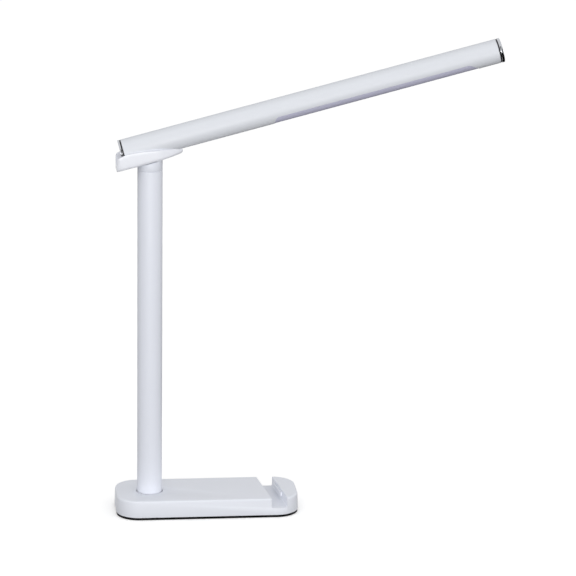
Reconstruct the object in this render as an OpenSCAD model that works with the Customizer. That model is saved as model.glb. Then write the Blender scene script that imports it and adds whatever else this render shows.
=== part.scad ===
// Folding LED desk lamp with a phone slot in its base.
// Millimetres, +Z up. The origin is on the desk, on the axis of the round post.
// +X runs along the base towards the tip of the arm, and -Y is the front.

/* [Base] */
// Length of the base
base_l = 184; // [160:1:220]
// Width of the base, front to back
base_w = 73; // [70:1:100]
// Height of the moulded cover above the foot pad
base_h = 17.2; // [16:0.1:22]
// Radius of the base's corners in plan
base_corner_r = 23; // [20:1:30]
// Radius of the rounded top edge of the cover
base_edge_r = 1.8; // [1:0.1:3]
// Distance from the post's axis to the near end of the base
post_inset = 34.5; // [33:0.5:45]
// Thickness of the cover's side walls
cover_wall = 2.2; // [1.6:0.1:3]
// Thickness of the cover's top wall
cover_top = 2.4; // [1.6:0.1:3]
// Thickness of the black foot pad
pad_t = 2.4; // [1.5:0.1:4]
// Step of the foot pad inside the cover's outline
pad_inset = 0.4; // [0.2:0.1:2]
// Thickness of the steel bottom plate
plate_t = 3.5; // [2:0.1:4]

/* [Phone slot] */
// Distance of the slot's middle from the far end of the base
slot_inset = 25; // [23.5:0.5:40]
// Width of the slot
slot_w = 16.3; // [10:0.1:18]
// Depth of the slot below the cover's top
slot_depth = 10.1; // [6:0.1:11]
// Angle between the slot and the base's short side
slot_slant = 6.9; // [0:0.1:10]
// Radius of the slot's floor corners
slot_floor_r = 1.5; // [0.5:0.1:3]
// Length of the soft strip on the slot's outer wall
strip_l = 30; // [20:1:50]
// Height of the soft strip
strip_h = 4.2; // [3:0.1:5]
// Thickness of the soft strip
strip_t = 1.2; // [0.4:0.1:1.5]

/* [Post] */
// Outer diameter of the post
post_d = 25; // [22:0.5:30]
// Wall of the post's tube
post_wall = 1.3; // [1:0.1:2]
// Height of the seam between the post's tube and its cap, above the desk
seam_z = 353; // [280:1:355]
// Radial gap between the post and its hole in the cover
ring_gap = 0.9; // [0.5:0.1:1.5]
// Half of the swivel's travel to either side
swivel_half_deg = 90; // [45:5:120]

/* [Arm] */
// Slope of the arm above the horizontal at rest
arm_tilt = 14.7; // [8:0.1:20]
// Height of the arm's axis above the desk, over the post's axis
arm_axis_z = 378.4; // [377:0.1:392]
// Outer diameter of the arm's tube
arm_d = 24.4; // [22:0.1:28]
// Wall of the arm's tube
arm_wall = 1.2; // [0.8:0.1:2]
// Length of the tube behind the post's axis
arm_back = 27; // [24:0.5:30]
// Length of the closed tube between the light window and the ring at the tip
tip_l = 21.5; // [16:0.5:40]
// Width of the chrome ring at the rear end
rear_ring_w = 3.5; // [2:0.1:5]
// Width of the chrome ring at the tip
tip_ring_w = 4.3; // [3:0.1:6]

/* [Light] */
// Start of the light window, from the post's axis along the arm
window_start = 124; // [110:1:150]
// Length of the light window
window_l = 210; // [150:1:240]
// Half of the angle that the window opens round the tube's underside
window_half_deg = 69; // [60:1:72]
// Radius of the window's corners at its near end
window_corner_r = 5; // [2:0.5:8]
// Number of light-emitting diodes along the board
led_count = 24; // [12:1:36]

/* [Hinge] */
// Height of the hinge pin above the saddle's flat underside
pin_rise = 3; // [3:0.1:4]
// Distance of the hinge pin beyond the corner of the post's cap
pin_reach = 4.6; // [4.6:0.1:6]
// Radius of the hinge pin
pin_r = 1.5; // [1.2:0.1:1.6]
// Width of the hinge tongue
tongue_w = 9; // [7:0.5:10]

/* [Saddle] */
// Depth of the saddle's flat underside below the arm's axis
saddle_drop = 16.1; // [16:0.1:18]
// Half of the saddle's width
saddle_half_w = 13.9; // [13.7:0.1:15]
// Distance of the saddle's plumb rear face behind the post's axis
saddle_back = 33.5; // [32:0.5:38]
// Reach of the saddle's blunt nose along the arm
saddle_nose = 29.7; // [26:0.1:31]
// Radius of the saddle's long bottom edges
saddle_edge_r = 3; // [2:0.5:6]
// Radius of the saddle's sides in plan, where they draw in to the nose
saddle_bow_r = 46; // [44:1:60]

/* [Hidden] */

$fn = 96;
eps = 0.01;
over = 1;             // how far a cutting solid runs past the face that it cuts
run_gap = 0.05;       // radial clearance of a shaft in its bearing
face_gap = 0.1;       // clearance between faces that slide on each other
part_gap = 0.3;       // clearance between parts that pass each other

// Levels in the base
plate_z = pad_t;
inside_z = plate_z + plate_t;
cover_z = pad_t;
top_z = cover_z + base_h;
ceiling_z = top_z - cover_top;
base_x0 = -post_inset;
base_x1 = base_x0 + base_l;
base_mid_x = base_x0 + base_l / 2;
slot_x = base_x1 - slot_inset;
inner_l = base_l - 2 * cover_wall;
inner_w = base_w - 2 * cover_wall;
inner_r = base_corner_r - cover_wall;
plate_gap = 0.2;
strip_y = 6;          // how far the soft strip sits towards the back
strip_drop = 2.8;     // depth of the strip's top edge below the cover's top

// Screws, by the radius of the shank
screw_r = 1.5;
small_screw_r = 1;
weight_screw_r = 2;
head_ratio = 1.9;     // head radius over shank radius
boss_r = 3.75;
boss_end_x = 11;      // distance of the end bosses from the base's ends
boss_side_y = 16.5;   // distance of all bosses from the base's long sides
boss_mid_x = 42;
base_screw_l = 10;

// Counterweight
weight_w = 60;
weight_h = ceiling_z - inside_z - 0.8;
weight_x = boss_mid_x + boss_r + 2;
weight_to_slot = 2.7; // gap between the weight and the slot's trough
trough_x = slot_x - tan(slot_slant) * weight_w / 2 - (slot_w / 2 + cover_wall) / cos(slot_slant);
weight_l = trough_x - weight_to_slot - weight_x;
weight_r = 3;
weight_screw_l = plate_t + 7;
weight_screw_inset = 13;

// Control board and what it carries
board_x = 20;
board_l = 17.5;
board_y = -14;
spacer_h = 2.5;
spacer_r = 2.4;
board_t = 1.6;
board_z = inside_z + spacer_h;
board_top = board_z + board_t;
board_end_y = base_w / 2 - cover_wall - 0.4;
inlet_w = 8.9;
inlet_h = 3.2;
inlet_l = 7.4;
inlet_shell = 0.3;
inlet_play = 0.5;
inlet_x = board_x + board_l / 2;
inlet_z = board_top + inlet_h / 2;
inlet_mouth_y = base_w / 2 - 0.3;
inlet_back_t = 1;
inlet_tongue_w = 6.6;
inlet_tongue_t = 0.7;
touch_r = 4.5;
touch_y = -6;

// Places and sizes on the control board, from its corner next to the post
spacer_inset = 3.2;
spacer_back_y = 30;
coil_at = [2, 16];
coil_size = [6, 6, 3];
chip_at = [10, 17];
chip_size = [5, 5, 1];
can_at = [12, 25.5];
can_r = 2.5;
can_h = 5;
board_head_h = 1.2;

// Swivel at the foot of the post
post_r = post_d / 2;
post_bore_r = post_r - post_wall;
journal_r = 8;
tail_r = 6;
lead_r = 1.75;
lead_bore_r = lead_r + run_gap;
nut_space_h = 4;
nut_h = 2.2;
nut_r = 10.2;
web_t = 2.2;
thrust_t = 0.5;
spring_t = 0.6;
flange_t = 2;
spigot_l = 20;
web_z = inside_z + nut_space_h;
web_top = web_z + web_t;
flange_z = web_top + thrust_t + face_gap;
tube_z = flange_z + flange_t;
shoulder_z = web_z - face_gap;
tail_end = 0.3;       // how far the threaded tail stands out of its nut
tail_z = shoulder_z - spring_t - nut_h - tail_end;
seat_r = 15;
seat_flange_r = 19.5;
seat_flange_t = 2;
nut_space_r = 12;
seat_screw_ring = 17.2;
seat_screw_l = plate_t + seat_flange_t;
peg_r = 0.8;
peg_ring = 11.6;
peg_h = 1.2;
groove_r = peg_ring - peg_r - part_gap;
groove_side_deg = asin((peg_r + part_gap) / peg_ring);
notch_w = 5;
notch_roof = 1;

// Arm frame: the origin is where the arm's axis crosses the post's axis,
// local X runs along the arm and local Z stands square on it.
arm_r = arm_d / 2;
arm_bore_r = arm_r - arm_wall;
cap_plane = -(saddle_drop + part_gap);
cap_corner = (post_r + cap_plane * sin(arm_tilt)) / cos(arm_tilt);
cap_heel = (-post_r + cap_plane * sin(arm_tilt)) / cos(arm_tilt);
pin_x = cap_corner + pin_reach;
pin_z = pin_rise - saddle_drop;
eye_r = pin_rise - 0.1;
tongue_l = 13;
tongue_leg = 5;
tongue_bar = 2.7;
washer_t = 0.8;
washer_r = eye_r - 0.1;
pocket_half_w = tongue_w / 2 + face_gap + washer_t;
pocket_r = eye_r + 0.4;
pocket_l = norm([tongue_l, eye_r]) + 0.4;
pocket_front = 1.5;   // how far the pocket opens downwards in front of the pin
pin_front_y = 9.6;
pin_back_y = 10.6;
cap_spigot_l = 15;
cap_top_l = 40;       // longer than the cap, so that the slanted cut decides its height

// Saddle
rim_start = -0.7;     // height of the rim beside the arm's axis, at the tube's rear end
rim_r = 236;
rim_end = -11.4;
rim_turn = -25;       // where the rim turns down towards the rear face, along the arm
rim_rear_fall = 12;   // slope of the rim behind that
rear_corner_r = 3.5;
corner_steps = 12;
rim_chord = [saddle_nose + arm_back, rim_end - rim_start];
rim_mid = [(saddle_nose - arm_back) / 2, (rim_end + rim_start) / 2];
rim_fall = sqrt(rim_r * rim_r - pow(norm(rim_chord) / 2, 2));
rim_centre = rim_mid + rim_fall * [rim_chord[1], -rim_chord[0]] / norm(rim_chord);
rim_peak = [rim_turn, rim_centre[1] + sqrt(pow(rim_r, 2) - pow(rim_turn - rim_centre[0], 2))];
nose_r = 3;
saddle_screw_x = [cap_heel + 0.5, cap_heel + 8];
anchor_x0 = -21.5;
anchor_x1 = cap_heel + 10.6;
anchor_top = -5.5;
screw_in_anchor = 5;
screw_sink = 0.2;     // depth of the screw heads below the saddle's underside
saddle_screw_l = saddle_drop - arm_bore_r + screw_in_anchor;
lead_hole_x = cap_plane * sin(arm_tilt) / cos(arm_tilt);
lead_hole_r = 1.9;
hole_into_tube = 3;   // how far the holes through the tube's wall run on inside it

// Rings and end caps of the arm
ring_proud = 0.25;
ring_round = 1;
ring_lip = 0.4;       // thin edge that lies on the tube's end
ring_groove_w = 0.9;
ring_groove_depth = 0.6;
rear_spigot = 5;
tip_spigot = 7;
ring_wall = 1.3;
end_cap_t = 2.6;
end_cap_inset = 0.4;

// Light engine
window_z = -arm_r * cos(window_half_deg);
window_half_w = arm_r * sin(window_half_deg);
window_end = window_start + window_l;
arm_front = window_end + tip_l;
diffuser_lip = 3;
diffuser_t = 1.35;
diffuser_play = 0.15;
diffuser_recess = 0.35;
carrier_t = 2;
board_strip_t = 1;
carrier_z = window_z + board_strip_t;
led_strip_w = 15;
led_l = 3.5;
led_w = 2.8;
led_h = 0.7;
carrier_over = 6;
board_end_gap = 1;
led_first = 6;        // distance of the first diode from the window's near end
led_last = 2;         // distance of the last diode from the start of the round end

module in_arm() {
    translate([0, 0, arm_axis_z]) rotate([0, -arm_tilt, 0]) children();
}

// Extrudes an outline drawn in local X and Z, both ways from the middle plane
module side_profile(width) {
    rotate([90, 0, 0]) linear_extrude(width, center = true) children();
}

// Cylinder along the arm's axis from x0 to x1
module arm_cylinder(radius, x0, x1) {
    translate([x0, 0, 0]) rotate([0, 90, 0]) cylinder(r = radius, h = x1 - x0);
}

module rounded_outline(length, width, radius) {
    square([length - 2 * radius, width], center = true);
    square([length, width - 2 * radius], center = true);
    for (sx = [-1, 1], sy = [-1, 1])
        translate([sx * (length / 2 - radius), sy * (width / 2 - radius)]) circle(radius);
}

// Half-section of an upright block with a rounded top corner, out to the given reach
module edge_section(reach, height, edge) {
    square([reach, height - edge]);
    square([reach - edge, height]);
    translate([reach - edge, height - edge]) circle(edge);
}

module full_section(width, height, edge) {
    edge_section(width / 2, height, edge);
    mirror([1, 0]) edge_section(width / 2, height, edge);
}

// Rounded block whose top edge is rounded all the way round
module soft_block(length, width, height, corner, edge) {
    for (sx = [-1, 1], sy = [-1, 1])
        translate([sx * (length / 2 - corner), sy * (width / 2 - corner), 0])
            rotate_extrude() edge_section(corner, height, edge);
    rotate([90, 0, 90]) linear_extrude(length - 2 * corner, center = true)
        full_section(width, height, edge);
    rotate([90, 0, 0]) linear_extrude(width - 2 * corner, center = true)
        full_section(length, height, edge);
}

// Countersunk screw that points up from the origin, with its head at the bottom
module flat_screw(radius, length) {
    cylinder(r1 = radius * head_ratio, r2 = radius, h = radius * (head_ratio - 1));
    cylinder(r = radius, h = length);
}

// Positions of the six bosses that take the base's screws
module at_bosses() {
    for (x = [base_x0 + boss_end_x, boss_mid_x, base_x1 - boss_end_x], side = [-1, 1])
        translate([x, side * (base_w / 2 - boss_side_y), 0]) children();
}

module at_weight_screws() {
    for (x = [weight_screw_inset, weight_l - weight_screw_inset])
        translate([weight_x + x, 0, 0]) children();
}

module at_seat_screws() {
    for (turn = [60, 180, 300]) rotate(turn) translate([seat_screw_ring, 0, 0]) children();
}

module at_board_spacers() {
    for (p = [[spacer_inset, spacer_inset], [board_l - spacer_inset, spacer_inset],
            [board_l / 2, spacer_back_y]])
        translate([board_x + p[0], board_y + p[1], 0]) children();
}

// Section of the phone slot, grown by its wall for the trough round it
module slot_section(grow) {
    width = slot_w + 2 * grow;
    corner = slot_floor_r + grow;
    translate([-width / 2, -slot_depth - grow + corner])
        square([width, slot_depth + grow - corner + over]);
    translate([-width / 2 + corner, -slot_depth - grow]) square([width - 2 * corner, corner + eps]);
    for (side = [-1, 1])
        translate([side * (width / 2 - corner), -slot_depth - grow + corner]) circle(corner);
}

module slot_channel(grow) {
    translate([slot_x, 0, top_z]) rotate(slot_slant)
        side_profile(base_w * 1.5) slot_section(grow);
}

module foot_pad() {
    color([0.05, 0.05, 0.05]) translate([base_mid_x, 0, 0])
        linear_extrude(pad_t) rounded_outline(base_l - 2 * pad_inset, base_w - 2 * pad_inset,
            base_corner_r - pad_inset);
}

module base_plate() {
    color("silver") difference() {
        translate([base_mid_x, 0, plate_z]) linear_extrude(plate_t)
            rounded_outline(inner_l - 2 * plate_gap, inner_w - 2 * plate_gap, inner_r - plate_gap);
        translate([0, 0, plate_z]) {
            at_bosses() flat_screw(screw_r, plate_t + over);
            at_seat_screws() flat_screw(screw_r, plate_t + over);
            at_weight_screws() flat_screw(weight_screw_r, plate_t + over);
        }
    }
}

module base_cover() {
    color("white") difference() {
        union() {
            difference() {
                translate([base_mid_x, 0, cover_z])
                    soft_block(base_l, base_w, base_h, base_corner_r, base_edge_r);
                difference() {
                    translate([base_mid_x, 0, cover_z - over])
                        linear_extrude(ceiling_z - cover_z + over)
                            rounded_outline(inner_l, inner_w, inner_r);
                    slot_channel(cover_wall);
                }
            }
            translate([0, 0, inside_z]) at_bosses() cylinder(r = boss_r, h = ceiling_z - inside_z + eps);
        }
        slot_channel(0);
        translate([0, 0, ceiling_z - over]) cylinder(r = post_r + ring_gap, h = cover_top + 2 * over);
        translate([0, 0, plate_z]) at_bosses() cylinder(r = screw_r, h = base_screw_l);
        translate([inlet_x, base_w / 2, inlet_z]) rotate([90, 0, 0])
            linear_extrude(2 * cover_wall + 2 * over, center = true)
                rounded_outline(inlet_w + inlet_play, inlet_h + inlet_play, (inlet_h + inlet_play) / 2 - eps);
    }
}

module slot_strip() {
    color("whitesmoke") translate([slot_x, 0, top_z]) rotate(slot_slant)
        translate([slot_w / 2 - strip_t, strip_y - strip_l / 2, -strip_drop - strip_h])
            cube([strip_t, strip_l, strip_h]);
}

module counterweight() {
    color("dimgray") difference() {
        translate([weight_x + weight_l / 2, 0, inside_z])
            linear_extrude(weight_h) rounded_outline(weight_l, weight_w, weight_r);
        translate([0, 0, plate_z]) at_weight_screws() cylinder(r = weight_screw_r, h = weight_screw_l);
    }
}

module weight_screws() {
    color("gray") translate([0, 0, plate_z]) at_weight_screws() flat_screw(weight_screw_r, weight_screw_l);
}

module base_screws() {
    color("gray") translate([0, 0, plate_z]) at_bosses() flat_screw(screw_r, base_screw_l);
}

module swivel_seat() {
    color("gainsboro") difference() {
        union() {
            translate([0, 0, inside_z]) cylinder(r = seat_flange_r, h = seat_flange_t);
            translate([0, 0, inside_z]) cylinder(r = seat_r, h = web_top - inside_z);
            translate([-peg_ring, 0, web_z]) cylinder(r = peg_r, h = flange_z + peg_h - web_z);
        }
        translate([0, 0, inside_z - over]) cylinder(r = nut_space_r, h = nut_space_h + over);
        translate([0, 0, web_z - over]) cylinder(r = journal_r + run_gap, h = web_t + 2 * over);
        translate([0, -notch_w / 2, inside_z - over])
            cube([seat_flange_r + over, notch_w, nut_space_h + over - notch_roof]);
        translate([0, 0, plate_z]) at_seat_screws() cylinder(r = screw_r, h = seat_screw_l + eps);
    }
}

module seat_screws() {
    color("gray") translate([0, 0, plate_z]) at_seat_screws() flat_screw(screw_r, seat_screw_l);
}

module thrust_washer() {
    color("ivory") translate([0, 0, web_top]) difference() {
        cylinder(r = groove_r - part_gap, h = thrust_t);
        translate([0, 0, -over]) cylinder(r = journal_r + run_gap, h = thrust_t + 2 * over);
    }
}

module control_board() {
    color("darkgreen") difference() {
        translate([board_x, board_y, board_z]) union() {
            cube([board_l, board_end_y - board_y, board_t]);
            translate([coil_at[0], coil_at[1], board_t]) cube(coil_size);
            translate([chip_at[0], chip_at[1], board_t]) cube(chip_size);
            translate([can_at[0], can_at[1], board_t]) cylinder(r = can_r, h = can_h);
        }
        translate([0, 0, board_z - over]) at_board_spacers()
            cylinder(r = small_screw_r, h = board_t + 2 * over);
    }
}

module board_spacers() {
    color("goldenrod") translate([0, 0, inside_z]) at_board_spacers() difference() {
        cylinder(r = spacer_r, h = spacer_h);
        translate([0, 0, -over]) cylinder(r = small_screw_r, h = spacer_h + 2 * over);
    }
}

module board_screws() {
    color("gray") translate([0, 0, inside_z]) at_board_spacers() {
        cylinder(r = small_screw_r, h = spacer_h + board_t);
        translate([0, 0, spacer_h + board_t]) cylinder(r = small_screw_r * head_ratio, h = board_head_h);
    }
}

// Flat reversible power socket with a tongue inside its metal shell
module power_inlet() {
    color("silver") translate([inlet_x, inlet_mouth_y, inlet_z]) rotate([90, 0, 0]) {
        difference() {
            linear_extrude(inlet_l) rounded_outline(inlet_w, inlet_h, inlet_h / 2 - eps);
            translate([0, 0, -over]) linear_extrude(inlet_l - inlet_back_t + over)
                rounded_outline(inlet_w - 2 * inlet_shell, inlet_h - 2 * inlet_shell,
                    inlet_h / 2 - inlet_shell - eps);
        }
        translate([-inlet_tongue_w / 2, -inlet_tongue_t / 2, inlet_back_t])
            cube([inlet_tongue_w, inlet_tongue_t, inlet_l - 1.5 * inlet_back_t]);
    }
}

module touch_pad() {
    color("peru") translate([inlet_x, touch_y, board_top]) cylinder(r = touch_r, h = ceiling_z - board_top);
}

module post_foot() {
    color("lightgray") difference() {
        union() {
            translate([0, 0, tail_z]) cylinder(r = tail_r, h = tube_z - tail_z);
            translate([0, 0, shoulder_z]) cylinder(r = journal_r, h = tube_z - shoulder_z);
            translate([0, 0, flange_z]) cylinder(r = post_r, h = flange_t);
            translate([0, 0, tube_z - eps]) cylinder(r = post_bore_r, h = spigot_l + eps);
        }
        translate([0, 0, tail_z - over]) cylinder(r = lead_bore_r, h = tube_z + spigot_l - tail_z + 2 * over);
        rotate(180 - swivel_half_deg - groove_side_deg)
            rotate_extrude(angle = 2 * (swivel_half_deg + groove_side_deg))
                translate([groove_r, flange_z - over]) square([post_r, peg_h + part_gap + over]);
    }
}

module swivel_spring() {
    color("silver") translate([0, 0, shoulder_z - spring_t]) difference() {
        cylinder(r = nut_r - 0.4, h = spring_t);
        translate([0, 0, -over]) cylinder(r = tail_r, h = spring_t + 2 * over);
    }
}

module swivel_nut() {
    color("silver") translate([0, 0, shoulder_z - spring_t - nut_h]) difference() {
        cylinder(r = nut_r, h = nut_h, $fn = 6);
        translate([0, 0, -over]) cylinder(r = tail_r, h = nut_h + 2 * over);
    }
}

module post_tube() {
    color("white") translate([0, 0, tube_z]) difference() {
        cylinder(r = post_r, h = seam_z - tube_z);
        translate([0, 0, -over]) cylinder(r = post_bore_r, h = seam_z - tube_z + 2 * over);
    }
}

module post_lead() {
    color("whitesmoke") translate([0, 0, tail_z + part_gap]) cylinder(r = lead_r, h = seam_z - tail_z);
}

// Outline of the hinge tongue in the arm frame: a leg up from the cap, a bar and an eye
module tongue_outline() {
    translate([pin_x, pin_z]) {
        circle(eye_r);
        translate([-tongue_l, eye_r - tongue_bar]) square([tongue_l, tongue_bar]);
        translate([-tongue_l, -2 * eye_r]) square([tongue_leg, 3 * eye_r]);
    }
}

module post_cap() {
    color("white") difference() {
        union() {
            translate([0, 0, seam_z - cap_spigot_l]) cylinder(r = post_bore_r, h = cap_spigot_l + eps);
            difference() {
                translate([0, 0, seam_z]) cylinder(r = post_r, h = cap_top_l);
                in_arm() translate([-cap_top_l, -cap_top_l, cap_plane])
                    cube([2 * cap_top_l, 2 * cap_top_l, 2 * cap_top_l]);
            }
            in_arm() side_profile(tongue_w) tongue_outline();
        }
        in_arm() translate([pin_x, 0, pin_z]) rotate([90, 0, 0])
            cylinder(r = pin_r + run_gap, h = tongue_w + 2 * over, center = true);
        translate([0, 0, seam_z - cap_spigot_l - over]) cylinder(r = lead_bore_r, h = 2 * cap_top_l);
    }
}

// Side view of the saddle: flat underside, plumb rear face, drooping rim and blunt nose
module saddle_side() {
    plumb = [sin(arm_tilt), cos(arm_tilt)];
    fall = [cos(rim_rear_fall), sin(rim_rear_fall)];
    rear_l = (rim_peak[0] * plumb[1] - rim_peak[1] * plumb[0] + saddle_back) / cos(arm_tilt + rim_rear_fall);
    tangent = rear_corner_r / tan((90 + arm_tilt + rim_rear_fall) / 2);
    centre = rim_peak + (tangent - rear_l) * fall + rear_corner_r * [fall[1], -fall[0]];
    turn = 90 - arm_tilt - rim_rear_fall;
    rear_corner = [for (i = [0 : corner_steps]) let (a = 90 + rim_rear_fall + i * turn / corner_steps)
        centre + rear_corner_r * [cos(a), sin(a)]];
    foot = [(-saddle_back - saddle_drop * plumb[0]) / plumb[1], -saddle_drop];
    difference() {
        polygon(concat([foot, [saddle_nose, -saddle_drop], [saddle_nose, 0], rim_peak + 2 * over * fall],
            rear_corner));
        difference() {
            square(4 * rim_r, center = true);
            translate(rim_centre) circle(rim_r, $fn = 360);
        }
        translate([saddle_nose - nose_r, -saddle_drop]) difference() {
            square(nose_r + over);
            translate([0, nose_r]) circle(nose_r);
            translate([-over, nose_r]) square([nose_r + over, 2 * over]);
        }
    }
}

// Boat form: straight sides behind the post's axis, drawn in to the nose before it
module saddle_boat() {
    back = 2 * saddle_back;
    depth = saddle_drop + over;
    translate([-back, 0, 0]) rotate([90, 0, 90]) linear_extrude(back)
        mirror([0, 1]) full_section(2 * saddle_half_w, saddle_drop, saddle_edge_r);
    intersection() {
        translate([0, -2 * saddle_half_w, -depth])
            cube([2 * saddle_nose, 4 * saddle_half_w, 2 * depth]);
        bow_disc(1);
        bow_disc(-1);
    }
}

// Disc whose rim is one side of the saddle, with the rounded bottom edge
module bow_disc(side) {
    translate([0, side * (saddle_half_w - saddle_bow_r), 0]) mirror([0, 0, 1])
        rotate_extrude($fn = 180) edge_section(saddle_bow_r, saddle_drop, saddle_edge_r);
}

// Space that the hinge tongue sweeps in the saddle and the tube
module hinge_pocket() {
    side_profile(2 * pocket_half_w) translate([pin_x, pin_z]) {
        circle(pocket_r);
        translate([-pocket_l, -2 * saddle_drop]) square([pocket_l + pocket_front, 2 * saddle_drop]);
        translate([-pocket_l, -eye_r]) square([pocket_l, eye_r + pocket_r]);
    }
}

module lead_hole() {
    translate([lead_hole_x, 0, -saddle_drop - over])
        cylinder(r = lead_hole_r, h = saddle_drop - arm_bore_r + hole_into_tube);
}

module at_saddle_screws() {
    for (x = saddle_screw_x) translate([x, 0, screw_sink - saddle_drop]) children();
}

module saddle() {
    color("white") in_arm() difference() {
        intersection() {
            saddle_boat();
            side_profile(4 * saddle_half_w) saddle_side();
        }
        arm_cylinder(arm_r, -2 * saddle_back, 2 * saddle_nose);
        arm_cylinder(arm_r + ring_proud + part_gap, -2 * saddle_back, -arm_back);
        hinge_pocket();
        lead_hole();
        translate([pin_x, -pin_front_y, pin_z]) rotate([-90, 0, 0]) cylinder(r = pin_r, h = 3 * pin_back_y);
        at_saddle_screws() {
            flat_screw(screw_r, saddle_drop);
            translate([0, 0, -over]) cylinder(r = screw_r * head_ratio, h = over + eps);
        }
    }
}

module saddle_screws() {
    color("gray") in_arm() at_saddle_screws() flat_screw(screw_r, saddle_screw_l);
}

module arm_anchor() {
    color("silver") in_arm() difference() {
        intersection() {
            arm_cylinder(arm_bore_r, anchor_x0, anchor_x1);
            translate([anchor_x0, -arm_r, -arm_r]) cube([anchor_x1 - anchor_x0, arm_d, anchor_top + arm_r]);
        }
        at_saddle_screws() cylinder(r = screw_r, h = saddle_drop);
    }
}

module hinge_pin() {
    color("gray") in_arm() translate([pin_x, -pin_front_y, pin_z]) rotate([-90, 0, 0])
        cylinder(r = pin_r, h = pin_front_y + pin_back_y);
}

module hinge_washers() {
    color("silver") in_arm() for (side = [-1, 1])
        translate([pin_x, side * (pocket_half_w - washer_t / 2), pin_z]) rotate([90, 0, 0]) difference() {
            cylinder(r = washer_r, h = washer_t, center = true);
            cylinder(r = pin_r, h = washer_t + 2 * over, center = true);
        }
}

// Outline of the light window seen from below: square near end, round far end
module window_outline(inset) {
    half = window_half_w - inset;
    corner = window_corner_r - inset;
    x0 = window_start + inset;
    x1 = window_end - inset;
    translate([x0 + corner, -half]) square([x1 - half - x0 - corner, 2 * half]);
    translate([x0, -half + corner]) square([2 * corner, 2 * (half - corner)]);
    for (side = [-1, 1]) translate([x0 + corner, side * (half - corner)]) circle(corner);
    translate([x1 - half, 0]) circle(half);
}

module window_prism(inset) {
    translate([0, 0, -2 * arm_r]) linear_extrude(2 * arm_r - 1) window_outline(inset);
}

module arm_tube() {
    color("white") in_arm() difference() {
        arm_cylinder(arm_r, -arm_back, arm_front);
        arm_cylinder(arm_bore_r, -arm_back - over, arm_front + over);
        window_prism(0);
        hinge_pocket();
        lead_hole();
        at_saddle_screws() cylinder(r = screw_r, h = saddle_drop - arm_bore_r + hole_into_tube);
    }
}

// Ring with a thin lip, a groove and a round bead outside the tube, and a spigot inside it, drawn along +Z
module end_ring(width, spigot) {
    rim = arm_r + ring_proud;
    bore = arm_bore_r - ring_wall;
    bead_z = ring_lip + ring_groove_w;
    bead_round = min(ring_round, (width - bead_z) / 2 - eps);
    rotate_extrude() difference() {
        union() {
            square([rim, ring_lip]);
            square([rim - ring_groove_depth, width - bead_round]);
            square([rim - bead_round, width]);
            translate([0, bead_z + bead_round]) square([rim, width - bead_z - 2 * bead_round]);
            for (z = [bead_z + bead_round, width - bead_round])
                translate([rim - bead_round, z]) circle(bead_round);
            translate([0, -spigot]) square([arm_bore_r, spigot + eps]);
        }
        translate([0, -spigot - over]) square([bore, spigot + width + 2 * over]);
    }
}

module end_cap(width) {
    translate([0, 0, width - end_cap_inset - end_cap_t]) cylinder(r = arm_bore_r - ring_wall, h = end_cap_t);
}

module at_rear_end() {
    in_arm() translate([-arm_back, 0, 0]) rotate([0, -90, 0]) children();
}

module at_tip_end() {
    in_arm() translate([arm_front, 0, 0]) rotate([0, 90, 0]) children();
}

module rear_ring() {
    color("silver") at_rear_end() end_ring(rear_ring_w, rear_spigot);
}

module rear_cap() {
    color("white") at_rear_end() end_cap(rear_ring_w);
}

module tip_ring() {
    color("silver") at_tip_end() end_ring(tip_ring_w, tip_spigot);
}

module tip_cap() {
    color("white") at_tip_end() end_cap(tip_ring_w);
}

module led_carrier() {
    color("silver") in_arm() intersection() {
        arm_cylinder(arm_bore_r, window_start - carrier_over, window_end + carrier_over);
        translate([window_start - carrier_over, -arm_r, carrier_z])
            cube([window_l + 2 * carrier_over, arm_d, carrier_t]);
    }
}

module led_board() {
    color("white") in_arm()
        translate([window_start + board_end_gap, -led_strip_w / 2, carrier_z - board_strip_t])
            cube([window_l - 2 * board_end_gap - window_half_w / 2, led_strip_w, board_strip_t]);
}

module leds() {
    span = window_l - window_half_w - led_first - led_last;
    color("khaki") in_arm() for (i = [0 : led_count - 1])
        translate([window_start + led_first + i * span / (led_count - 1) - led_l / 2, -led_w / 2,
            carrier_z - board_strip_t - led_h])
            cube([led_l, led_w, led_h]);
}

module diffuser() {
    inner_r = arm_bore_r - run_gap - diffuser_t;
    x0 = window_start - diffuser_lip;
    x1 = window_end + diffuser_lip;
    color("lavender") in_arm() difference() {
        union() {
            intersection() {
                arm_cylinder(arm_bore_r - run_gap, x0, x1);
                translate([x0 - over, -arm_r, -2 * arm_r])
                    cube([x1 - x0 + 2 * over, arm_d, 2 * arm_r + carrier_z - board_strip_t]);
            }
            intersection() {
                arm_cylinder(arm_r - diffuser_recess, x0, x1);
                window_prism(diffuser_play);
                translate([x0, -arm_r, -2 * arm_r])
                    cube([x1 - x0, arm_d, 2 * arm_r + window_z - diffuser_play]);
            }
        }
        arm_cylinder(inner_r, x0 - over, x1 + over);
    }
}

foot_pad();
base_plate();
base_cover();
slot_strip();
counterweight();
weight_screws();
base_screws();
swivel_seat();
seat_screws();
thrust_washer();
control_board();
board_spacers();
board_screws();
power_inlet();
touch_pad();
post_foot();
swivel_spring();
swivel_nut();
post_tube();
post_lead();
post_cap();
saddle();
saddle_screws();
arm_anchor();
hinge_pin();
hinge_washers();
arm_tube();
rear_ring();
rear_cap();
tip_ring();
tip_cap();
led_carrier();
led_board();
leds();
diffuser();
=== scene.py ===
# %% [markdown]
# # A folding desk lamp with a phone slot
# The real lamp is a white painted tube that carries light-emitting diodes behind a milky window.
# It lies in a boat-shaped saddle on a round post, and the post turns in a flat weighted base.
# The solids come packed and measured, so this lesson starts by loading them as a fixed frame.
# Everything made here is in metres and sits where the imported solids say.

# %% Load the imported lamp
import math

import bmesh
import bpy
from mathutils import Matrix, Vector


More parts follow.
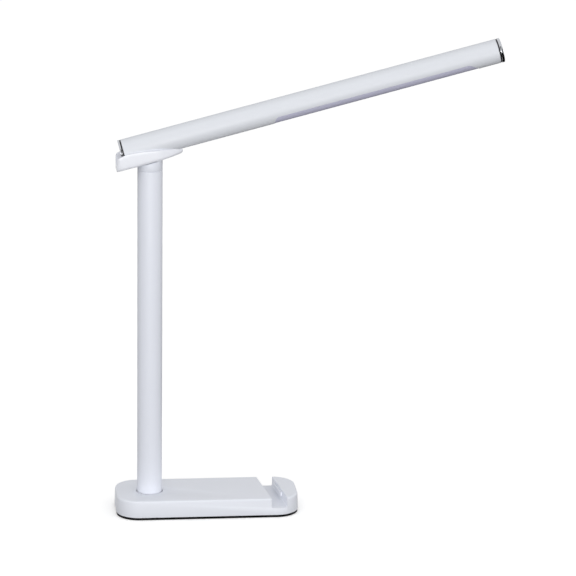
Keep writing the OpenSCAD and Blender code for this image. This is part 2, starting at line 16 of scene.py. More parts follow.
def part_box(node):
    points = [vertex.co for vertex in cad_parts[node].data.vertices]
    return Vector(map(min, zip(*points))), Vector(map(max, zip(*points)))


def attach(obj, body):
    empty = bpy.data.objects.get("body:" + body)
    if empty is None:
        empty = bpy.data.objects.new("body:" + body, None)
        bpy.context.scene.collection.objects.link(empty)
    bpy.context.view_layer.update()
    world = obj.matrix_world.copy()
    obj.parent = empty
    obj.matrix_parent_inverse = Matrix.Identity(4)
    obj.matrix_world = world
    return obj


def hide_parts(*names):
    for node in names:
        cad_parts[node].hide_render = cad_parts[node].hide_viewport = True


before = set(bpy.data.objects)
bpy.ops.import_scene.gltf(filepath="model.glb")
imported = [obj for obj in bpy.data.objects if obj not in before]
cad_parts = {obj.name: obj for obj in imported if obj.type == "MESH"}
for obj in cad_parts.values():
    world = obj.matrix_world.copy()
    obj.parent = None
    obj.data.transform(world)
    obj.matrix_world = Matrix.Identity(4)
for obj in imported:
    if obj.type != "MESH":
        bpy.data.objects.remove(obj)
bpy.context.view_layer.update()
print("nodes:", len(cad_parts))

# %% [markdown]
# ## Sizes in millimetres
# A maker thinks in millimetres and Blender works in metres, so lengths are written in
# millimetres and multiplied once, when the mesh is built. The arm has a frame of its own:
# "along" runs up the tube and "above" stands square on it, both from the point where the
# arm's axis crosses the post's axis. One function turns that frame into the lamp's.

# %% Sizes and the arm's own frame
MM = 0.001
BASE_X0, BASE_X1, BASE_W = -34.5, 149.5, 73.0
BASE_R, BASE_EDGE, BASE_WALL, BASE_ROOF, BASE_DRAFT = 23.0, 1.8, 2.2, 2.4, 0.5
PAD_T, TOP_Z = 2.4, 19.6
POST_R, POST_BORE, TUBE_Z, SEAM_Z = 12.5, 11.2, 14.7, 353.0
TILT, AXIS_Z = math.radians(14.7), 378.4
ARM_R, ARM_BORE, ARM_BACK, ARM_FRONT = 12.2, 11.0, -27.0, 355.5
WINDOW = (124.0, 334.0)
WINDOW_HALF = math.radians(69.0)
SADDLE_DROP, SADDLE_HALF, SADDLE_BACK, SADDLE_NOSE = 16.1, 13.9, -33.5, 29.7
PIN_ALONG, PIN_ABOVE = 13.2205, -13.1


def upright(x, y, z):
    return Vector((x, y, z)) * MM


def leaned(along, across, above):
    """A direction or a small part in the arm's frame, turned to the arm's slope."""
    return upright(along * math.cos(TILT) - above * math.sin(TILT), across,
                   along * math.sin(TILT) + above * math.cos(TILT))


def in_arm(along, across, above):
    return leaned(along, across, above) + upright(0, 0, AXIS_Z)


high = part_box("arm_tube")[1]
print("tube's top end, solid against this frame:",
      round((high.z - in_arm(ARM_FRONT, 0, ARM_R).z) / MM, 3), "mm")

# %% [markdown]
# ## Skins between rings
# Nearly every part of this lamp is a row of rings with a skin between them: the post, the
# arm, the chrome rings, the saddle. So one helper joins rings of points into quads, and
# another turns a half profile round an axis. Quads that follow the form shade smoothly,
# which matters on white paint, where every kink shows as a grey line.

# %% Helpers that build and place a piece
def skin(bm, rings, capped=False):
    """Joins each ring to the next with quads, and closes both ends where it is capped."""
    rows = [[bm.verts.new(p) for p in ring] for ring in rings]
    for lower, upper in zip(rows, rows[1:]):
        count = len(lower)
        for i in range(count):
            j = (i + 1) % count
            bm.faces.new((lower[i], lower[j], upper[j], upper[i]))
    if capped:
        bm.faces.new(list(reversed(rows[0])))
        bm.faces.new(rows[-1])


def shade(piece, crease):
    piece.data.shade_smooth()
    piece.data.set_sharp_from_angle(angle=math.radians(crease))
    return piece


def closed_up(bm, mesh):
    """Merges doubles, drops empty faces and loose edges, and points every face outwards."""
    bmesh.ops.remove_doubles(bm, verts=bm.verts, dist=1e-7)
    bmesh.ops.dissolve_degenerate(bm, edges=bm.edges, dist=1e-8)
    loose = [edge for edge in bm.edges if not edge.link_faces]
    bmesh.ops.delete(bm, geom=loose, context="EDGES")
    bmesh.ops.recalc_face_normals(bm, faces=bm.faces)
    bm.to_mesh(mesh)
    bm.free()


def set_down(name, data):
    """A new object in the scene."""
    piece = bpy.data.objects.new(name, data)
    bpy.context.scene.collection.objects.link(piece)
    return piece


def settle(bm, name, crease=32):
    """Makes a finished object of the mesh, with edges over the given angle kept crisp."""
    mesh = bpy.data.meshes.new(name)
    closed_up(bm, mesh)
    return shade(set_down(name, mesh), crease)


def lofted(name, rings, crease=32):
    """A closed piece over a row of rings."""
    bm = bmesh.new()
    skin(bm, rings, capped=True)
    return settle(bm, name, crease)


def circle(radius, steps):
    turns = [2 * math.pi * i / steps for i in range(steps)]
    return [(radius * math.cos(a), radius * math.sin(a)) for a in turns]


def turned(name, profile, place, steps, crease=32, marked=(0, 0)):
    """Turns (radius, height) points round an axis; place(x, y, height) puts them in the lamp.

    Faces between the two marked points of the profile take the piece's second finish.
    """
    rings = [[place(x, y, height) for x, y in circle(radius, steps)] for radius, height in profile]
    bm = bmesh.new()
    skin(bm, rings + [rings[0]])
    bm.faces.ensure_lookup_table()
    for face in bm.faces[marked[0] * steps:marked[1] * steps]:
        face.material_index = 1
    return settle(bm, name, crease)


def dress(piece, finish, body, node):
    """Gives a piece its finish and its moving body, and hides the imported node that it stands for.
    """
    if finish is not None:
        piece.data.materials.clear()
        piece.data.materials.append(finish)
    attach(piece, body)
    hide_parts(node)
    print(f"{piece.name}: {len(piece.data.polygons)} faces on {body}")


# %% [markdown]
# ## Cutting and softening
# Holes and the phone trough are cut with exact booleans, as the maker's own solids are.
# A real moulding has no knife edge, so a narrow bevel with three steps goes on afterwards:
# it is the thin bright line that light draws along an edge.

# %% Helpers that cut and soften
def baked(piece):
    """Replaces the piece's mesh by what its modifiers make of it."""
    view = bpy.context.evaluated_depsgraph_get()
    mesh = bpy.data.meshes.new_from_object(piece.evaluated_get(view), depsgraph=view)
    piece.modifiers.clear()
    piece.data = mesh
    mesh.name = piece.name
    return piece


def cut(piece, *cutters, operation="DIFFERENCE"):
    for cutter in cutters:
        boolean = piece.modifiers.new("cut", "BOOLEAN")
        boolean.operation = operation
        boolean.solver = "EXACT"
        boolean.object = cutter
        baked(piece)
        bpy.data.objects.remove(cutter)
    return piece


def soften(piece, width, limit=38):
    bevel = piece.modifiers.new("soft_edges", "BEVEL")
    bevel.width = width * MM
    bevel.segments = 3
    bevel.limit_method = "ANGLE"
    bevel.angle_limit = math.radians(limit)
    bevel.use_clamp_overlap = True
    shade(baked(piece), 32)


def prism(name, outline, start, end, place):
    """A closed block with an outline in two axes, pulled along the third."""
    return lofted(name, [[place(u, t, v) for u, v in outline] for t in (start, end)])


def arc(cx, cy, radius, start, end, steps):
    """Points on a circle from one angle to another, in degrees."""
    turns = [math.radians(start + (end - start) * i / steps) for i in range(steps + 1)]
    return [(cx + radius * math.cos(a), cy + radius * math.sin(a)) for a in turns]


def round_bar(name, x, y, radius, start, end, place):
    return prism(name, arc(x, y, radius, 0, 352.5, 47), start, end, place)


def standing(place):
    """Stands a prism on end: its outline lies flat and is pulled upwards."""
    return lambda u, t, v: place(u, v, t)


# %% [markdown]
# ## Finishes
# One recipe makes all the finishes, because they share a structure: a base colour with a
# faint cloudy drift, a roughness that wanders as handling leaves it, and a fine grain that
# only moves the light. Patterns are read from object coordinates in metres, so they stay on
# the part in every view. What is the same all over is set straight on the shader.

# %% The finish recipe
COLOUR_A, COLOUR_B, COLOUR_OUT = 6, 7, 2    # the colour sockets of a mix node


def linear(v):
    """A screen's value from 0 to 255 as an amount of light."""
    v /= 255
    return v / 12.92 if v <= 0.04045 else ((v + 0.055) / 1.055) ** 2.4


def preset(node, **values):
    """Sets a node's inputs by name, with an underscore for each space."""
    for socket, value in values.items():
        node.inputs[socket.replace("_", " ")].default_value = value


def new_material(name):
    """A material, its node tree and its main shader."""
    material = bpy.data.materials.new(name)
    material.use_nodes = True
    return material, material.node_tree, material.node_tree.nodes["Principled BSDF"]


def make_finish(name, colour, rough, drift=0.03, span=0.05, patch=20, grain=0.4, depth=0.003,
                stretch=(1, 1, 1), **fixed):
    """Patches, grain and the grain's depth are in millimetres."""
    material, tree, shader = new_material(name)
    add, link = tree.nodes.new, tree.links.new
    preset(shader, **fixed)
    scale = add("ShaderNodeMapping")
    preset(scale, Scale=[s / MM for s in stretch])
    link(add("ShaderNodeTexCoord").outputs["Object"], scale.inputs["Vector"])
    clouds = add("ShaderNodeTexNoise")
    preset(clouds, Scale=1 / patch, Detail=4)
    pores = add("ShaderNodeTexNoise")
    preset(pores, Scale=1 / grain, Detail=3)
    for noise in (clouds, pores):
        link(scale.outputs["Vector"], noise.inputs["Vector"])
    tint = add("ShaderNodeMix")
    tint.data_type = "RGBA"
    light = [linear(c) for c in colour]
    tint.inputs[COLOUR_A].default_value = [c * (1 - drift) for c in light] + [1]
    tint.inputs[COLOUR_B].default_value = [min(c * (1 + drift), 1) for c in light] + [1]
    link(clouds.outputs["Fac"], tint.inputs[0])
    link(tint.outputs[COLOUR_OUT], shader.inputs["Base Color"])
    sheen = add("ShaderNodeMapRange")
    preset(sheen, From_Min=0.3, From_Max=0.7, To_Min=rough - span, To_Max=rough + span)
    link(clouds.outputs["Fac"], sheen.inputs["Value"])
    link(sheen.outputs["Result"], shader.inputs["Roughness"])
    bump = add("ShaderNodeBump")
    preset(bump, Strength=1, Distance=depth * MM)
    link(pores.outputs["Fac"], bump.inputs["Height"])
    link(bump.outputs["Normal"], shader.inputs["Normal"])
    return material


# %% [markdown]
# ## The whites
# The tubes are powder coated: a soft satin white with a faint orange peel, and the arm's is a
# shade less blue. The base and the saddle are moulded, a touch smoother and, on the saddle, a
# touch whiter. The diffuser is tinted a little, and it only shows what little light comes from
# below, so it reads as lilac grey.

# %% White finishes
white_paint = make_finish("white_paint", (226, 229, 238), 0.5, drift=0.01, patch=45, grain=1.1,
                          depth=0.004)
arm_paint = make_finish("arm_paint", (223, 226, 232), 0.5, drift=0.01, patch=60, grain=1.1,
                        depth=0.004)
white_moulding = make_finish("white_moulding", (228, 231, 239), 0.46, drift=0.012, patch=30,
                             grain=0.5, depth=0.0025)
saddle_white = make_finish("saddle_white", (234, 236, 243), 0.34, drift=0.01, patch=25, grain=0.6,
                           depth=0.002, Coat_Weight=0.15, Coat_Roughness=0.2)
soft_white = make_finish("soft_white", (232, 234, 240), 0.6, drift=0.02, patch=8, grain=0.25,
                         depth=0.006, IOR=1.45)
milky_cover = make_finish("milky_cover", (200, 200, 221), 0.5, drift=0.01, patch=40, grain=0.3,
                          IOR=1.49)
print("whites:", len(bpy.data.materials))

# %% [markdown]
# ## Metals, foam and the rest
# The chrome is almost a mirror, and the gap beside it is painted near-black as painted shade for the
# shade that falls in the narrow groove, which sets the ring off from the paint. The foot pad is foam
# rubber: black, matt, with open pores. Inside there are
# steel, zinc, iron, brass, board and foam, each with a grain of its own scale.

# %% The other finishes
black_foam = make_finish("black_foam", (10, 9, 11), 0.85, drift=0.3, patch=6, grain=0.35,
                         depth=0.02, Specular_IOR_Level=0.12)
ring_chrome = make_finish("ring_chrome", (196, 198, 203), 0.1, span=0.03, patch=5, grain=0.5,
                          depth=0.0006, Metallic=1.0)
# painted shade: this near-black colour on the ring's groove stands in for the shade that falls inside
# the narrow gap
ring_gap_black = make_finish("ring_gap_black", (24, 23, 25), 0.45, drift=0.1, patch=4, grain=0.3,
                             depth=0.004, Specular_IOR_Level=0.3)
plate_steel = make_finish("plate_steel", (176, 178, 182), 0.36, drift=0.06, span=0.08, patch=9,
                          grain=0.3, depth=0.004, stretch=(0.1, 1, 1), Metallic=1.0)
screw_steel = make_finish("screw_steel", (168, 170, 175), 0.27, drift=0.08, span=0.08, patch=2,
                          grain=0.2, depth=0.002, Metallic=1.0)
cast_weight = make_finish("cast_weight", (70, 70, 73), 0.68, drift=0.2, span=0.12, patch=5,
                          grain=0.6, depth=0.06, Metallic=0.7)
turned_zinc = make_finish("turned_zinc", (178, 180, 185), 0.33, drift=0.05, patch=6,
                          depth=0.004, stretch=(1, 1, 6), Metallic=1.0)
drawn_aluminium = make_finish("drawn_aluminium", (205, 207, 210), 0.3, drift=0.05, patch=8,
                              grain=0.3, stretch=(0.08, 1, 1), Metallic=1.0)
bearing_plastic = make_finish("bearing_plastic", (205, 205, 200), 0.55, patch=7, depth=0.006)
board_green = make_finish("board_green", (30, 92, 60), 0.38, drift=0.12, patch=3, grain=0.25,
                          depth=0.01, Coat_Weight=0.5)
board_white = make_finish("board_white", (228, 229, 226), 0.4, drift=0.02, patch=5, grain=0.3,
                          depth=0.004)
spacer_brass = make_finish("spacer_brass", (205, 172, 98), 0.28, drift=0.08, patch=2, grain=0.2,
                           Metallic=1.0)
touch_foam = make_finish("touch_foam", (128, 112, 84), 0.95, drift=0.2, patch=1.2, depth=0.1)
lead_sheath = make_finish("lead_sheath", (214, 215, 218), 0.5, drift=0.02, patch=6, grain=0.3,
                          depth=0.006)
phosphor = make_finish("phosphor", (236, 214, 98), 0.45, drift=0.06, patch=0.8, grain=0.1,
                       depth=0.004)
print("finishes:", len(bpy.data.materials))

# %% [markdown]
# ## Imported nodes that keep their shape
# Parts inside the base, the post and the arm are already the right shape, and nobody sees
# them from outside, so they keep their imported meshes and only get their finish.

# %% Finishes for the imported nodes
node_finish = {
    "base_plate": plate_steel, "counterweight": cast_weight, "swivel_seat": bearing_plastic,
    "thrust_washer": bearing_plastic, "control_board": board_green,
    "board_spacers": spacer_brass, "power_inlet": plate_steel, "touch_pad": touch_foam,
    "post_foot": turned_zinc, "swivel_spring": screw_steel, "swivel_nut": screw_steel,
    "post_lead": lead_sheath, "arm_anchor": drawn_aluminium, "hinge_pin": screw_steel,
    "hinge_washers": plate_steel, "led_carrier": drawn_aluminium, "led_board": board_white,
}
for node_name, finish in node_finish.items():
    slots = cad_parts[node_name].data.materials
    if not slots:
        slots.append(finish)
    for i in range(len(slots)):
        slots[i] = finish
print("nodes that keep their packed mesh:", len(node_finish))

# %% [markdown]
# ## Trees of Geometry Nodes
# What repeats, such as screws and diodes, and the post's tube, whose shape follows a rule,
# are made by small trees of Geometry Nodes. Each tree has named inputs for its sizes, so a
# maker can change them in one place. A modifier knows its inputs by identifier, so one
# helper looks those up by name, sets them, and turns the result into a plain mesh.

# %% Helpers for the trees
SOCKET = {"shape": "NodeSocketObject", "finish": "NodeSocketMaterial", "count": "NodeSocketInt",
          "length": "NodeSocketFloat", "place": "NodeSocketVector"}


def new_tree(name, **inputs):
    tree = bpy.data.node_groups.new(name, "GeometryNodeTree")
    tree.interface.new_socket("Geometry", in_out="OUTPUT", socket_type="NodeSocketGeometry")
    tree.interface.new_socket("Guide", in_out="INPUT", socket_type="NodeSocketGeometry")
    for label, kind in inputs.items():
        tree.interface.new_socket(label.replace("_", " "), in_out="INPUT", socket_type=SOCKET[kind])
    return tree, tree.nodes.new("NodeGroupInput").outputs


def finish_tree(tree, geometry, finish):
    """Ends a tree: instances made real, then the finish."""
    add, link = tree.nodes.new, tree.links.new
    real = add("GeometryNodeRealizeInstances")
    paint = add("GeometryNodeSetMaterial")
    link(geometry, real.inputs["Geometry"])
    link(real.outputs["Geometry"], paint.inputs["Geometry"])
    link(finish, paint.inputs["Material"])
    link(paint.outputs["Geometry"], add("NodeGroupOutput").inputs["Geometry"])


def grown(name, tree, guide_points=(), crease=32, **values):
    """An object whose mesh is what the tree makes of the given sizes."""
    mesh = bpy.data.meshes.new(name)
    mesh.from_pydata([tuple(p) for p in guide_points], [], [])
    piece = set_down(name, mesh)
    growth = piece.modifiers.new("growth", "NODES")
    growth.node_group = tree
    for item in tree.interface.items_tree:
        key = item.name.replace(" ", "_")
        if item.in_out == "INPUT" and key in values:
            growth[item.identifier] = values[key]
    baked(piece)
    bm = bmesh.new()
    bm.from_mesh(piece.data)
    closed_up(bm, piece.data)
    return shade(piece, crease)


# %% A tree that sets one shape on every guide point
def shape_on_points(tree, given, points):
    """Ends a tree with the given shape on each point."""
    add, link = tree.nodes.new, tree.links.new
    shape = add("GeometryNodeObjectInfo")
    each = add("GeometryNodeInstanceOnPoints")
    link(given["Shape"], shape.inputs["Object"])
    link(points, each.inputs["Points"])
    link(shape.outputs["Geometry"], each.inputs["Instance"])
    finish_tree(tree, each.outputs["Instances"], given["Finish"])


each_tree, given = new_tree("one_on_each_point", Shape="shape", Finish="finish")
shape_on_points(each_tree, given, given["Guide"])

# %% A tree that repeats one shape along a straight row
row_tree, given = new_tree("straight_row", Shape="shape", How_many="count", First="place",
                           Step="place", Finish="finish")
line = row_tree.nodes.new("GeometryNodeMeshLine")
line.mode = "OFFSET"
for label, socket in (("How many", "Count"), ("First", "Start Location"), ("Step", "Offset")):
    row_tree.links.new(given[label], line.inputs[socket])
shape_on_points(row_tree, given, line.outputs["Mesh"])

# %% A tree that rolls a tube: a wall's section with round ends, swept round a circle
tube_tree, given = new_tree("rolled_tube", Wall="length", Height="length", Edge_roll="length",
                            Middle_radius="length", Middle="place", Steps="count", Finish="finish")
add, link = tube_tree.nodes.new, tube_tree.links.new
section = add("GeometryNodeCurvePrimitiveQuadrilateral")
roll = add("GeometryNodeFilletCurve")
roll.mode = "POLY"
preset(roll, Count=4, Limit_Radius=True)
path = add("GeometryNodeCurvePrimitiveCircle")
sweep = add("GeometryNodeCurveToMesh")
lift = add("GeometryNodeTransform")
link(given["Wall"], section.inputs["Width"])
link(given["Height"], section.inputs["Height"])
link(section.outputs["Curve"], roll.inputs["Curve"])
link(given["Edge roll"], roll.inputs["Radius"])
link(given["Steps"], path.inputs["Resolution"])
link(given["Middle radius"], path.inputs["Radius"])
link(path.outputs["Curve"], sweep.inputs["Curve"])
link(roll.outputs["Curve"], sweep.inputs["Profile Curve"])
link(sweep.outputs["Mesh"], lift.inputs["Geometry"])
link(given["Middle"], lift.inputs["Translation"])
finish_tree(tube_tree, lift.outputs["Geometry"], given["Finish"])
print("trees:", [t.name for t in bpy.data.node_groups])

# %% [markdown]
# ## Foot pad
# The pad is a thin black sheet under the whole base, set back a little. It shares one outline
# with the cover, a rectangle with round corners, so both come from the same function, which
# moves that outline in by a given step at each height.

# %% The base's outline and the pad
def base_outline(inset):
    """A rectangle with round corners, drawn in from the base's widest outline."""
    mid = (BASE_X0 + BASE_X1) / 2
    half_l, half_w = (BASE_X1 - BASE_X0) / 2 - inset, BASE_W / 2 - inset
    radius = BASE_R - inset
    points = []
    for sx, sy, start in ((1, 1, 0), (-1, 1, 90), (-1, -1, 180), (1, -1, 270)):
        cx, cy = mid + sx * (half_l - radius), sy * (half_w - radius)
        points += arc(cx, cy, radius, start, start + 90, 20)
    return points


def outline_block(name, profile):
    """A block from (inset, height) points: the outline is drawn in by inset at each height."""
    return lofted(name, [[upright(x, y, z) for x, y in base_outline(inset)] for inset, z in profile])


pad = outline_block("foot_pad_sheet", [(0.6, 0), (0.45, 0.1), (0.4, 0.3), (0.4, 2.1), (0.5, 2.3),
                                       (0.7, PAD_T)])
dress(pad, black_foam, "base", "foot_pad")

# %% [markdown]
# ## Cover
# The cover is one moulding. Its walls lean in slightly towards the top, as a moulding must to
# leave its mould, and end in a soft edge. It is hollow, with a trough for the phone across it.
# So it is built as the mould makes it: a block, less its cavity, less the slot, less the holes.

# %% The cover
SLOT_X, SLOT_W, SLOT_DEPTH, SLOT_SLANT, SLOT_ROUND = 124.5, 16.3, 10.1, math.radians(6.9), 1.5
POST_HOLE_R, THROUGH = 13.4, 60
INLET_X, INLET_Z, INLET_HALF, INLET_R = 28.75, 11.6, 2.6, 1.85
lower_edge = [(0.35, PAD_T), (0.1, PAD_T + 0.1), (0, PAD_T + 0.35)]
upper_edge = [(BASE_DRAFT + BASE_EDGE * (1 - math.cos(a)), TOP_Z - BASE_EDGE * (1 - math.sin(a)))
              for a in [math.radians(9 * i) for i in range(11)]]
cover = outline_block("cover_moulding", lower_edge + upper_edge)


def slot_outline(grow):
    """The trough's section with rounded feet, open above the cover's top."""
    half, floor_z, r = SLOT_W / 2 + grow, TOP_Z - SLOT_DEPTH - grow, SLOT_ROUND + grow
    return ([(-half, TOP_Z + 3)] + arc(-half + r, floor_z + r, r, 180, 270, 8)
            + arc(half - r, floor_z + r, r, 270, 360, 8) + [(half, TOP_Z + 3)])


def in_slot(u, t, v):
    """The slot's frame: u across the slot, t along it, turned by its slant."""
    c, s = math.cos(SLOT_SLANT), math.sin(SLOT_SLANT)
    return upright(SLOT_X + u * c - t * s, u * s + t * c, v)


cavity = outline_block("cavity", [(BASE_WALL, PAD_T - 1), (BASE_WALL, TOP_Z - BASE_ROOF)])
cut(cavity, prism("trough", slot_outline(BASE_WALL), -THROUGH, THROUGH, in_slot))
post_hole = round_bar("post_hole", 0, 0, POST_HOLE_R, 10, 30, standing(upright))
inlet_outline = (arc(INLET_X - INLET_HALF, INLET_Z, INLET_R, 90, 270, 10)
                 + arc(INLET_X + INLET_HALF, INLET_Z, INLET_R, -90, 90, 10))
socket_hole = prism("socket_hole", inlet_outline, 30, 40, upright)
slot = prism("slot", slot_outline(0), -THROUGH, THROUGH, in_slot)
cut(cover, cavity, slot, post_hole, socket_hole)
soften(cover, 0.4, limit=40)
dress(cover, white_moulding, "base", "base_cover")

# %% [markdown]
# ## Soft strip in the slot
# A soft strip is glued to the slot's outer wall, so that a phone leans on something that
# doesn't scratch. It stands a little proud, and its upper face catches the light as a thin
# bright line. It is a flat bar with all its edges rolled over.

# %% The soft strip
STRIP_PROUD, STRIP_SUNK, STRIP_DROP, STRIP_H, STRIP_START, STRIP_END = 1.2, 0.1, 2.8, 4.2, -9, 21
face, back = SLOT_W / 2 - STRIP_PROUD, SLOT_W / 2 + STRIP_SUNK
top = TOP_Z - STRIP_DROP
strip = prism("slot_strip_soft", [(face, top - STRIP_H), (back, top - STRIP_H), (back, top),
                                  (face, top)], STRIP_START, STRIP_END, in_slot)
soften(strip, 0.3)
dress(strip, soft_white, "base", "slot_strip")

# %% [markdown]
# ## Screws
# Six countersunk screws close the base, two hold the weight, three the swivel's seat and two
# the saddle. They are one shape in four sizes: a cone head with a cross recess and a ridged
# shank. Each size is turned once, and a tree sets it on its guide points.

# %% The screw's shape
HEAD_R, HEAD_H, ROOT_R, PITCH = 1.9, 0.9, 0.86, 0.35    # for a shank of radius one
SCREW_STEPS = 24


def crossed_bars(long_half, short_half, start, end, place):
    """Two crossed bars that cut a screwdriver's recess."""
    return [prism("recess", [(-a, -b), (a, -b), (a, b), (-a, b)], start, end, standing(place))
            for a, b in ((long_half, short_half), (short_half, long_half))]


def flat_screw(radius, length, place):
    head, root, pitch = radius * HEAD_H, radius * ROOT_R, radius * PITCH
    profile = [(0, 0), (radius * (HEAD_R - 0.04), 0), (radius * HEAD_R, 0.12), (radius, head)]
    for i in range(int((length - head - 0.5) / pitch)):
        profile += [(radius, head + pitch * (i + 0.25)), (root, head + pitch * (i + 0.75))]
    profile += [(root, length - 0.3), (radius * 0.6, length), (0, length)]
    screw = turned("screw_shape", profile, place, SCREW_STEPS, 50)
    return cut(screw, *crossed_bars(radius * 1.05, radius * 0.17, -1, radius * 0.8, place))


def screws_at(name, shape, points, body, node):
    """One piece with the shape on every point; the shape itself then goes."""
    piece = grown(name, each_tree, points, crease=50, Shape=shape, Finish=screw_steel)
    bpy.data.objects.remove(shape)
    dress(piece, None, body, node)


# %% The screws that go in from below
SEAT_SCREW_RING = 17.2
cover_points = [upright(x, y, PAD_T) for x in (-23.5, 42, 138.5) for y in (-20, 20)]
weight_points = [upright(x, 0, PAD_T) for x in (60.75, 94.744)]
seat_points = [upright(SEAT_SCREW_RING * math.cos(a), SEAT_SCREW_RING * math.sin(a), PAD_T)
               for a in (math.pi / 3, math.pi, 5 * math.pi / 3)]
screws_at("cover_screws", flat_screw(1.5, 10, upright), cover_points, "base", "base_screws")
screws_at("weight_screws_steel", flat_screw(2, 10.5, upright), weight_points, "base",
          "weight_screws")
screws_at("seat_screws_steel", flat_screw(1.5, 5.5, upright), seat_points, "base", "seat_screws")

# %% [markdown]
# ## Screws on the control board
# Three small pan screws stand on the board's brass spacers. Their heads are domed, so this
# shape gets a profile of its own, but the same tree sets it in place.

# %% Pan screws
pan_profile = [(0, 0), (0.8, 0), (1, 0.2), (1, 4.1), (1.9, 4.1), (1.9, 4.5), (1.75, 4.9),
               (1.35, 5.15), (0.8, 5.27), (0, 5.3)]
BOARD_SCREW_Z = 5.9
pan_screw = turned("pan_screw", pan_profile, upright, SCREW_STEPS, 40)
cut(pan_screw, *crossed_bars(0.9, 0.16, 4.6, 6, upright))
pan_points = [upright(x, y, BOARD_SCREW_Z) for x, y in ((23.2, -10.8), (34.3, -10.8), (28.75, 16))]
screws_at("board_screws_pan", pan_screw, pan_points, "base", "board_screws")

# %% [markdown]
# ## Post
# The post is a drawn tube, powder coated, with a fine seam near its top, where the cap
# starts. A tube is a rule, not a drawing: a wall of some height and thickness, swept round a
# circle. So the rolled-tube tree makes it, and its rolled edge meets the cap's to form the
# thin dark line of the seam.

# %% The post's tube
SEAM_ROLL, ROUND_STEPS = 0.45, 128
post = grown("post_tube_painted", tube_tree, crease=40, Wall=POST_R - POST_BORE,
             Height=SEAM_Z - TUBE_Z, Edge_roll=SEAM_ROLL, Middle_radius=(POST_R + POST_BORE) / 2,
             Middle=(0, 0, (SEAM_Z + TUBE_Z) / 2), Steps=ROUND_STEPS, Finish=white_paint)
post.data.transform(Matrix.Scale(MM, 4))
dress(post, None, "post", "post_tube")
print("tube, mm:", [round(v / MM, 2) for v in post.dimensions])

# %% [markdown]
# ## Post cap with the hinge tongue
# Above the seam the post goes on as a cap, cut off on the arm's slope. Its rings are as round
# as the tube, but the height of the upper ones follows the slanted plane. The tongue that
# carries the arm's pin grows out of it and stays hidden in the saddle until the arm folds.

# %% The cap
CAP_GAP, SPIGOT_END, SPIGOT_TOP, SPIGOT_BORE, LEAD_HOLE_R = 0.3, 338, SEAM_Z + 0.05, 1.85, 1.8
EYE_R, EYE_BORE_R, TONGUE_HALF, TONGUE_BACK, TONGUE_REACH, TONGUE_DEPTH = 2.9, 1.55, 4.5, 13, 8, 5.5


def slope_z(x):
    """Height of the cap's slanted end over a point of the post."""
    return AXIS_Z + (x * math.sin(TILT) - SADDLE_DROP - CAP_GAP) / math.cos(TILT)


lower_rings = [(POST_R - SEAM_ROLL, 0), (POST_R - 0.13, 0.13), (POST_R, SEAM_ROLL)]
upper_rings = [(POST_R, 0.35), (POST_R - 0.1, 0.1), (POST_R - 0.35, 0)]
rings = [[upright(x, y, SEAM_Z + rise) for x, y in circle(r, ROUND_STEPS)] for r, rise in lower_rings]
rings += [[upright(x, y, slope_z(x) - drop) for x, y in circle(r, ROUND_STEPS)]
          for r, drop in upper_rings]
cap = lofted("post_cap_moulded", rings, 40)
spigot_profile = [(SPIGOT_BORE, SPIGOT_END), (POST_BORE - 0.4, SPIGOT_END),
                  (POST_BORE, SPIGOT_END + 0.4), (POST_BORE, SPIGOT_TOP), (SPIGOT_BORE, SPIGOT_TOP)]
spigot = turned("cap_spigot", spigot_profile, upright, 96)
back, reach = PIN_ALONG - TONGUE_BACK, PIN_ALONG - TONGUE_REACH
tongue = prism("tongue", arc(PIN_ALONG, PIN_ABOVE, EYE_R, -172, 90, 28)
               + [(back, PIN_ABOVE + EYE_R), (back, PIN_ABOVE - TONGUE_DEPTH),
                  (reach, PIN_ABOVE - TONGUE_DEPTH), (reach, PIN_ABOVE + 0.2)],
               -TONGUE_HALF, TONGUE_HALF, in_arm)
cut(cap, spigot, tongue, operation="UNION")
cut(cap, round_bar("pin_hole", PIN_ALONG, PIN_ABOVE, EYE_BORE_R, -8, 8, in_arm),
    round_bar("lead_hole", 0, 0, LEAD_HOLE_R, 330, 380, standing(upright)))
dress(shade(cap, 30), white_paint, "post", "post_cap")

# %% [markdown]
# ## Saddle
# The saddle is the lamp's hardest form: a boat that hugs the tube, with straight sides at
# the back, a plumb rear face under a soft corner, a rim that sinks towards the front and
# sides that bow in to a blunt nose. It is lofted from cross-sections along the arm. First
# come the lines that every section obeys.

# %% The saddle's lines
BOW_R, KEEL_R, NOSE_R = 46.0, 3.0, 3.0
RIM_R, RIM_START, RIM_END, RIM_TURN = 236.0, -0.7, -11.4, -25.0
REAR_FALL, REAR_CORNER, STERN_R, RIM_ROUND = math.radians(12), 3.5, 3.0, 0.45


def half_width(along, to_stern=STERN_R):
    """Half of the saddle's width: bowed in front, rounded over the last of the stern."""
    if along <= 0:
        short = max(STERN_R - to_stern, 0)
        return SADDLE_HALF - STERN_R + math.sqrt(STERN_R ** 2 - short ** 2)
    return SADDLE_HALF - BOW_R + math.sqrt(BOW_R ** 2 - along ** 2)


def rim_height(along):
    """Height of the rim, which is one long arc from the tube's back end to the nose."""
    chord = Vector((SADDLE_NOSE - ARM_BACK, RIM_END - RIM_START))
    middle = Vector(((SADDLE_NOSE + ARM_BACK) / 2, (RIM_END + RIM_START) / 2))
    fall = math.sqrt(RIM_R ** 2 - (chord.length / 2) ** 2)
    centre = middle + Vector((chord.y, -chord.x)).normalized() * fall
    return centre.y + math.sqrt(RIM_R ** 2 - (along - centre.x) ** 2)


def rear_limit(above):
    """Where the plumb rear face stands at a height above the arm's axis."""
    return (SADDLE_BACK + above * math.sin(TILT)) / math.cos(TILT)


